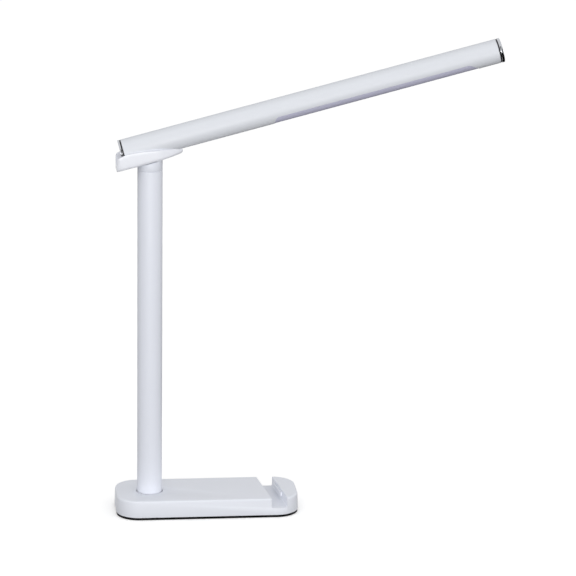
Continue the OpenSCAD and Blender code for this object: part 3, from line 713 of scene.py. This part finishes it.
peak = Vector((RIM_TURN, rim_height(RIM_TURN)))
down_back = Vector((math.cos(REAR_FALL), math.sin(REAR_FALL)))
rear_run = ((peak.x - rear_limit(peak.y)) * math.cos(TILT)) / math.cos(TILT + REAR_FALL)
corner_cut = REAR_CORNER / math.tan((math.pi / 2 + TILT + REAR_FALL) / 2)
corner_mid = (peak + (corner_cut - rear_run) * down_back
              + REAR_CORNER * Vector((down_back.y, -down_back.x)))
corner_start = corner_mid.x - REAR_CORNER * math.sin(REAR_FALL)
face_top = corner_mid.y + REAR_CORNER * math.sin(TILT)
print("rim at the turn, middle and nose:",
      [round(rim_height(a), 2) for a in (RIM_TURN, 0, SADDLE_NOSE)])


# %% Heights of the keel and of the rim behind its turn
def keel_height(across, along, width):
    """Height of the underside: flat, rolled up at the sides and at the nose."""
    height = -SADDLE_DROP
    reach = across - width + KEEL_R
    if reach > 0:
        height += KEEL_R - math.sqrt(max(KEEL_R ** 2 - reach ** 2, 0))
    reach = along - SADDLE_NOSE + NOSE_R
    if reach > 0:
        rise = NOSE_R - math.sqrt(max(NOSE_R ** 2 - reach ** 2, 0))
        height = max(height, rise - SADDLE_DROP)
    return height


def rear_top(along):
    """Height of the rim behind its turn: a straight fall, then the soft rear corner."""
    if along > corner_start:
        return peak.y - (RIM_TURN - along) * math.tan(REAR_FALL)
    return corner_mid.y + math.sqrt(max(REAR_CORNER ** 2 - (along - corner_mid.x) ** 2, 0))


def rear_along(share, above):
    """The rear sections lean by degrees, until the last is the plumb face itself."""
    return RIM_TURN + share * (rear_limit(above) - RIM_TURN)


def rear_section_top(share):
    """Halves a range until it holds the height at which a leaning section meets the rim."""
    lower, upper = face_top, 0.0
    for _ in range(40):
        middle = (lower + upper) / 2
        if rear_top(rear_along(share, middle)) > middle:
            lower = middle
        else:
            upper = middle
    return lower


# %% One cross-section of the saddle
def half_section(along, top, to_stern=STERN_R):
    """Points from the keel's middle round to the tube's lowest line, for one side."""
    w = half_width(along, to_stern)
    flat = max(w - KEEL_R, 0)
    points = [(flat * i / 6, keel_height(flat * i / 6, along, w)) for i in range(7)]
    first = math.asin(min(max(0, KEEL_R - w) / KEEL_R, 1))
    for i in range(1, 11):
        a = first + (math.pi / 2 - first) * i / 10
        y = w - KEEL_R + KEEL_R * math.sin(a)
        points.append((y, min(keel_height(y, along, w), top - 0.5)))
    side_low = points[-1][1]
    r = min(RIM_ROUND, (top - side_low) / 2, w / 4)
    points += [(w, side_low + (top - r - side_low) * i / 4) for i in range(1, 5)]
    inner = min(math.sqrt(max(ARM_R ** 2 - top ** 2, 0)), w - r)
    points += arc(w - r, top - r, r, 0, 90, 4)[1:]
    points += [(w - r + (inner - w + r) * i / 3, top) for i in range(1, 4)]
    for i in range(1, 13):
        y = inner * (1 - i / 12)
        points.append((y, min(top, -math.sqrt((ARM_R + 0.02) ** 2 - y ** 2))))
    return points


def both_sides(half):
    return half + [(-y, z) for y, z in reversed(half[1:-1])]


# %% The saddle, lofted and cut
POCKET_BACK, POCKET_FRONT, POCKET_R, POCKET_HALF = 13.7, 1.5, 3.3, 5.4
RING_ROOM_R, PIN_HOLE_R, SINK_R, SADDLE_SCREWS = 12.75, 1.5, 2.9, (-16.725, -9.225)
shares = [1, 0.996, 0.988, 0.976, 0.96, 0.938, 0.91, 0.88, 0.84, 0.79, 0.73, 0.66, 0.55, 0.4, 0.2]
rings = []
for share in shares:
    top = rear_section_top(share)
    to_stern = (1 - share) * (RIM_TURN - SADDLE_BACK) * math.cos(TILT)
    section = both_sides(half_section(rear_along(share, top), top, to_stern))
    rings.append([in_arm(rear_along(share, z), y, z) for y, z in section])
stations = [RIM_TURN - RIM_TURN * i / 12 for i in range(13)]
stations += [SADDLE_NOSE * math.sin(math.radians(90 * i / 28)) for i in range(1, 29)]
for along in stations:
    section = both_sides(half_section(along, rim_height(along)))
    rings.append([in_arm(along, y, z) for y, z in section])
saddle = lofted("saddle_boat", rings, 35)
back, front, below = PIN_ALONG - POCKET_BACK, PIN_ALONG + POCKET_FRONT, -40
pocket = prism("pocket", [(back, below), (front, below), (front, PIN_ABOVE - 2.94)]
               + arc(PIN_ALONG, PIN_ABOVE, POCKET_R, -63, 90, 18) + [(back, PIN_ABOVE + POCKET_R)],
               -POCKET_HALF, POCKET_HALF, in_arm)
ring_room = round_bar("ring_room", 0, 0, RING_ROOM_R, -60, ARM_BACK, lambda u, t, v: in_arm(t, u, v))
pin_hole = round_bar("pin_hole", PIN_ALONG, PIN_ABOVE, PIN_HOLE_R, -9.6, 30, in_arm)
sinks = [round_bar("sink", x, 0, SINK_R, -17, -15, standing(in_arm)) for x in SADDLE_SCREWS]
cut(saddle, ring_room, pocket, pin_hole, *sinks)
dress(shade(saddle, 30), saddle_white, "arm", "saddle")
saddle_points = [in_arm(x, 0, 0.2 - SADDLE_DROP) for x in SADDLE_SCREWS]
screws_at("saddle_screws_steel", flat_screw(1.5, 10.1, leaned), saddle_points, "arm",
          "saddle_screws")

# %% [markdown]
# ## Arm tube
# The tube is open underneath for the light window. Instead of cutting a hole in a finished
# cylinder, its skin is woven so that its columns end on the window's edge: the near end is
# square with round corners, the far end is a half circle as seen from below. Every quad then
# follows the edge, and the paint shades without a flaw right up to it.

# %% The window's edge
CORNER_R = 5.0
FAR_HALF = ARM_R * math.sin(WINDOW_HALF)


def window_sizes(inset):
    """Where the window starts and ends, its half width and its corners' radius."""
    return WINDOW[0] + inset, WINDOW[1] - inset, FAR_HALF - inset, CORNER_R - inset


def window_half_width(along, inset=0.0):
    """Half of the window's width in plan, and zero outside it."""
    x0, x1, half, corner = window_sizes(inset)
    if along < x0 or along > x1:
        return 0.0
    if along < x0 + corner:
        return half - corner + math.sqrt(max(corner ** 2 - (x0 + corner - along) ** 2, 0))
    if along > x1 - half:
        return math.sqrt(max(half ** 2 - (along - x1 + half) ** 2, 0))
    return half


def window_stations(inset=0.0):
    x0, x1, half, corner = window_sizes(inset)
    near = [x0 + corner * (1 - math.cos(math.radians(9 * i))) for i in range(11)]
    middle = [x0 + corner + (x1 - half - x0 - corner) * i / 30 for i in range(1, 30)]
    far = [x1 - half + half * math.sin(math.radians(4.5 * i)) for i in range(21)]
    return near + middle + far


# %% The painted tube
END_ROLL = 0.15


def on_tube(along, radius, turn):
    """A point round the tube; the turn counts from its lowest line."""
    return in_arm(along, radius * math.sin(turn), -radius * math.cos(turn))


def tube_ring(along, radius, first, last, columns):
    return [on_tube(along, radius, first + (last - first) * i / columns)
            for i in range(columns + 1)]


def wall_ring(along, half_open, belly=False):
    """Outside and inside of the wall at one station, with the tube's ends rolled in."""
    outer = ARM_R - (END_ROLL if along in (ARM_BACK, ARM_FRONT) else 0)
    edge = math.asin(min(half_open / ARM_R, 1))
    first, last, columns = (-edge, edge, 24) if belly else (edge, 2 * math.pi - edge, 120)
    return (tube_ring(along, outer, first, last, columns)
            + tube_ring(along, ARM_BORE, last, first, columns))


near_half = window_half_width(WINDOW[0])
before = [ARM_BACK, ARM_BACK + 0.2] + [ARM_BACK + (WINDOW[0] - ARM_BACK) * i / 16
                                       for i in range(1, 16)]
after = [WINDOW[1] + (ARM_FRONT - WINDOW[1]) * i / 6 for i in range(1, 6)]
after += [ARM_FRONT - 0.2, ARM_FRONT]
bm = bmesh.new()
skin(bm, [wall_ring(a, near_half if a < WINDOW[0] else window_half_width(a))
          for a in before + window_stations() + after], capped=True)
skin(bm, [wall_ring(a, near_half, belly=True) for a in before + [WINDOW[0]]], capped=True)
bmesh.ops.remove_doubles(bm, verts=bm.verts, dist=2e-6)
same = {}
for face in bm.faces:
    same.setdefault(frozenset(face.verts), []).append(face)
inside = [face for faces in same.values() if len(faces) > 1 for face in faces]
bmesh.ops.delete(bm, geom=inside, context="FACES")
tube = settle(bm, "arm_tube_painted", crease=30)
dress(tube, arm_paint, "arm", "arm_tube")

# %% [markdown]
# ## Diffuser
# A milky strip closes the window from inside. Its face follows the tube a third of a
# millimetre deeper, so a fine step shows all round. It is woven like the tube, over the
# window's outline drawn in by the fitting clearance.

# %% The milky diffuser
FACE_R, BACK_R, CLEARANCE = ARM_R - 0.35, ARM_BORE - 1.4, 0.15
edge_roll = {0: 0.18, 1: 0.04, 39: 0.04, 40: 0.18}
rings = []
for along in window_stations(CLEARANCE):
    edge = math.asin(max(window_half_width(along, CLEARANCE), 0.02) / ARM_R)
    turns = [edge * math.cos(math.radians(180 * i / 40)) for i in range(41)]
    ring = [on_tube(along, FACE_R - edge_roll.get(i, 0), a) for i, a in enumerate(turns)]
    rings.append(ring + [on_tube(along, BACK_R, a) for a in reversed(turns)])
diffuser = lofted("diffuser_milky", rings, 45)
dress(diffuser, milky_cover, "arm", "diffuser")

# %% [markdown]
# ## Light-emitting diodes
# Twenty-four diodes sit in one straight row on the board behind the diffuser. Each is a small
# white case with a round cup, filled with yellow phosphor. The row is the plainest rule there
# is, a start and a step, so the row tree repeats the two shapes along it.

# %% The row of diodes
CASE_L, CASE_W, CASE_T, CUP_R = 3.5, 2.8, 0.7, 1.15
DIODES, FIRST_ALONG, STEP, BOARD_ABOVE = 24, 130, 8.2874, -4.372
case = prism("diode_case", [(-CASE_L / 2, -CASE_T), (CASE_L / 2, -CASE_T), (CASE_L / 2, 0),
                            (-CASE_L / 2, 0)], -CASE_W / 2, CASE_W / 2, leaned)
soften(case, 0.12)
cut(case, round_bar("cup", 0, 0, CUP_R, -1, -0.5, standing(leaned)))
fill_profile = [(0, -0.72), (0.4, -0.71), (0.8, -0.67), (1.1, -0.6), (1.1, -0.45), (0, -0.45)]
fill = turned("diode_fill", fill_profile, leaned, 24, 40)
for name, shape, finish in (("diode_cases", case, board_white), ("diode_fills", fill, phosphor)):
    row = grown(name, row_tree, Shape=shape, Finish=finish, How_many=DIODES,
                First=in_arm(FIRST_ALONG, 0, BOARD_ABOVE), Step=leaned(STEP, 0, 0))
    bpy.data.objects.remove(shape)
    dress(row, None, "arm", "leds")

# %% [markdown]
# ## Chrome rings and end discs
# Each end of the arm carries a turned ring: a thin lip on the paint, a narrow gap, then a
# round chrome bead. Its half profile is turned round the arm's axis, and the faces of the gap
# take a near-black colour, painted shade for the shade deep in the groove. The white disc inside is
# slightly hollow, as a pressed-in plug is.

# %% Rings and discs
def at_rear(x, y, height):
    return in_arm(ARM_BACK - height, x, y)


def at_tip(x, y, height):
    return in_arm(ARM_FRONT + height, -x, y)


BEAD_R, RING_STEPS, DISC_STEPS = 0.5, 144, 96


def chrome_ring(name, width, spigot, place, node):
    bore, rim = ARM_BORE - 1.3, ARM_R + 0.25
    gap = [(rim - 0.05, 0.2), (rim - 0.55, 0.22), (rim - 0.6, 0.3), (rim - 0.6, 1.38)]
    profile = [(bore, -spigot), (ARM_BORE, -spigot), (ARM_BORE, 0), (rim - 0.05, 0), (rim, 0.05),
               (rim, 0.15)] + gap
    # the gap's faces take the second finish: near-black painted shade in place of the groove's own
    # shade
    first_painted_shade = len(profile) - len(gap)
    profile += arc(rim - BEAD_R, 1.9, BEAD_R, -80, 0, 7)
    profile += arc(rim - BEAD_R, width - BEAD_R, BEAD_R, 0, 90, 8)
    profile += [(bore + 0.2, width), (bore, width - 0.2)]
    ring = turned(name, profile, place, RING_STEPS, 40, (first_painted_shade, first_painted_shade + len(gap) - 1))
    ring.data.materials.append(ring_chrome)
    ring.data.materials.append(ring_gap_black)
    dress(ring, None, "arm", node)


def end_disc(name, width, place, node):
    radius, face = ARM_BORE - 1.32, width - 0.4
    profile = [(0, face - 2.6), (radius, face - 2.6), (radius, face - 0.3),
               (radius - 0.1, face - 0.08), (radius - 0.35, face), (radius - 1.4, face - 0.05),
               (radius * 0.6, face - 0.28), (radius * 0.3, face - 0.38), (0, face - 0.4)]
    disc = turned(name, profile, place, DISC_STEPS, 40)
    dress(disc, white_moulding, "arm", node)


for end, width, spigot, place in (("rear", 3.5, 5, at_rear), ("tip", 4.3, 7, at_tip)):
    chrome_ring(f"{end}_ring_chrome", width, spigot, place, f"{end}_ring")
    end_disc(f"{end}_disc", width, place, f"{end}_cap")

# %% [markdown]
# ## Floor and background
# The lamp stands on a plain white floor that runs out to a white world. Both are white to
# the camera and in reflections, but give back less light to the lamp than real white paper
# would, which keeps the dark underside of the arm. The floor still takes the soft shadow.

# %% Floor and world
FLOOR_WHITE, FLOOR_BOUNCE, FLOOR_GLOW, WORLD_LIGHT = 0.95, 0.1, 0.32, 0.73
FLOOR_REACH, FLOOR_Z = 14, -0.0002


def camera_like(tree):
    """One where a ray comes from the camera or from a mirror or glass, else zero."""
    add, link = tree.nodes.new, tree.links.new
    path = add("ShaderNodeLightPath")
    seen = path.outputs["Is Camera Ray"]
    for ray in ("Is Glossy Ray", "Is Transmission Ray"):
        either = add("ShaderNodeMath")
        either.operation = "MAXIMUM"
        link(seen, either.inputs[0])
        link(path.outputs[ray], either.inputs[1])
        seen = either.outputs[0]
    return seen


def sheet(name, material, left, right, near, far):
    """A rectangle of the studio, between a near and a far edge that are given as (y, z)."""
    corners = [(left, *near), (right, *near), (right, *far), (left, *far)]
    mesh = bpy.data.meshes.new(name)
    mesh.from_pydata(corners, [], [(0, 1, 2, 3)])
    mesh.materials.append(material)
    stage = set_down(name, mesh)
    return stage


floor_paper, tree, shader = new_material("floor_paper")
add, link = tree.nodes.new, tree.links.new
preset(shader, Roughness=1, Specular_IOR_Level=0, Emission_Color=(1, 1, 1, 1))
seen = camera_like(tree)
tone = add("ShaderNodeMix")
tone.data_type = "RGBA"
tone.inputs[COLOUR_A].default_value = [FLOOR_BOUNCE] * 3 + [1]
tone.inputs[COLOUR_B].default_value = [FLOOR_WHITE] * 3 + [1]
link(seen, tone.inputs[0])
link(tone.outputs[COLOUR_OUT], shader.inputs["Base Color"])
glow = add("ShaderNodeMath")
glow.operation = "MULTIPLY"
glow.inputs[1].default_value = FLOOR_GLOW
link(seen, glow.inputs[0])
link(glow.outputs[0], shader.inputs["Emission Strength"])
sheet("floor", floor_paper, -FLOOR_REACH, FLOOR_REACH, (-FLOOR_REACH, FLOOR_Z),
      (FLOOR_REACH, FLOOR_Z))
world = bpy.context.scene.world or bpy.data.worlds.new("studio")
bpy.context.scene.world = world
world.use_nodes = True
world.node_tree.nodes.clear()
add, link = world.node_tree.nodes.new, world.node_tree.links.new
mix = add("ShaderNodeMixShader")
link(camera_like(world.node_tree), mix.inputs[0])
for socket, strength in ((1, WORLD_LIGHT), (2, 1.0)):
    light = add("ShaderNodeBackground")
    preset(light, Color=(1, 1, 1, 1), Strength=strength)
    link(light.outputs[0], mix.inputs[socket])
link(mix.outputs[0], add("ShaderNodeOutputWorld").inputs["Surface"])
print("floor and world ready")

# %% [markdown]
# ## Black cards
# Chrome has no colour of its own: it shows the studio. So for each end of the arm one black
# card stands in front and one lies on the floor. They darken the lower half of each ring, which
# sets it off from the white paint. The cards exist for reflections alone: they are hidden from
# the camera, cast no shadow and take no light from the lamp.

# %% The cards
CARD_Y, CARD_TOP, CARD_LIFT = -1.6, 2.2, 0.0003
card_black, tree, shader = new_material("card_black")
preset(shader, Base_Color=[0.004] * 3 + [1], Roughness=1, Specular_IOR_Level=0)
cards = [sheet(name, card_black, left, right, (CARD_Y, 0), (CARD_Y, CARD_TOP))
         for name, left, right in (("card_rear", -0.25, 0.2), ("card_tip", 0.4, 1))]
cards += [sheet(name, card_black, left, right, (CARD_Y, CARD_LIFT), (far, CARD_LIFT))
          for name, left, right, far in (("card_floor_rear", -1.2, 0.2, -0.2),
                                         ("card_floor_tip", 0.2, 1.6, 0.6))]
for card in cards:
    card.visible_camera = card.visible_diffuse = card.visible_shadow = False
    card.visible_transmission = card.visible_volume_scatter = False
print("cards:", [card.name for card in cards])

# %% [markdown]
# ## Lamps
# White things are drawn by the difference between their sides. The background gives an
# even light from everywhere, and one long soft lamp stands low in front, so that front faces
# come out brightest and the top of the base a step darker, as in the photograph. A weak
# lamp on the right keeps that edge of the round tubes from going as grey as the left one.

# %% Lamps
def soft_lamp(name, place, aim, size, watts):
    data = bpy.data.lights.new(name, "AREA")
    data.shape = "RECTANGLE"
    data.size, data.size_y = size
    data.energy = watts
    lamp = set_down(name, data)
    lamp.location = place
    lamp.rotation_euler = (Vector(aim) - Vector(place)).to_track_quat("-Z", "Y").to_euler()


soft_lamp("low_front", place=(-0.2, -3.0, 0.3), aim=(0.05, 0, 0.25), size=(2.2, 0.5), watts=50)
soft_lamp("right_fill", place=(2.2, -0.4, 0.9), aim=(0.1, 0, 0.25), size=(1.0, 1.2), watts=4)

# %% [markdown]
# ## Camera
# The photograph was matched feature by feature, which gave a long lens some three and a half
# metres away, looking down by fifteen degrees and six degrees to the right of square.
# The rotation is written from three angles: heading, dip and roll.

# %% Camera
PHOTO_PIXELS, FOCAL_PIXELS, FILM_MM = 576, 3594.97, 36
CAMERA_AT = (-0.24349, -3.44437, 1.18402)
HEADING, DIP, ROLL = (math.radians(v) for v in (6.3264, 15.4043, 0.711))
data = bpy.data.cameras.new("photo_camera")
data.sensor_width = FILM_MM
data.lens = FOCAL_PIXELS / PHOTO_PIXELS * FILM_MM
data.clip_start, data.clip_end = 0.1, 60
camera = set_down("photo_camera", data)
level = math.cos(DIP)
ahead = Vector((math.sin(HEADING) * level, math.cos(HEADING) * level, -math.sin(DIP)))
right = Vector((math.cos(HEADING), -math.sin(HEADING), 0))
up = right.cross(ahead)
rolled_right = right * math.cos(ROLL) + up * math.sin(ROLL)
rolled_up = up * math.cos(ROLL) - right * math.sin(ROLL)
turn = Matrix((rolled_right, rolled_up, -ahead)).transposed()
camera.matrix_world = Matrix.Translation(CAMERA_AT) @ turn.to_4x4()
bpy.context.scene.camera = camera
bpy.context.scene.view_settings.view_transform = "Standard"
print("lens:", round(data.lens, 2), "mm")
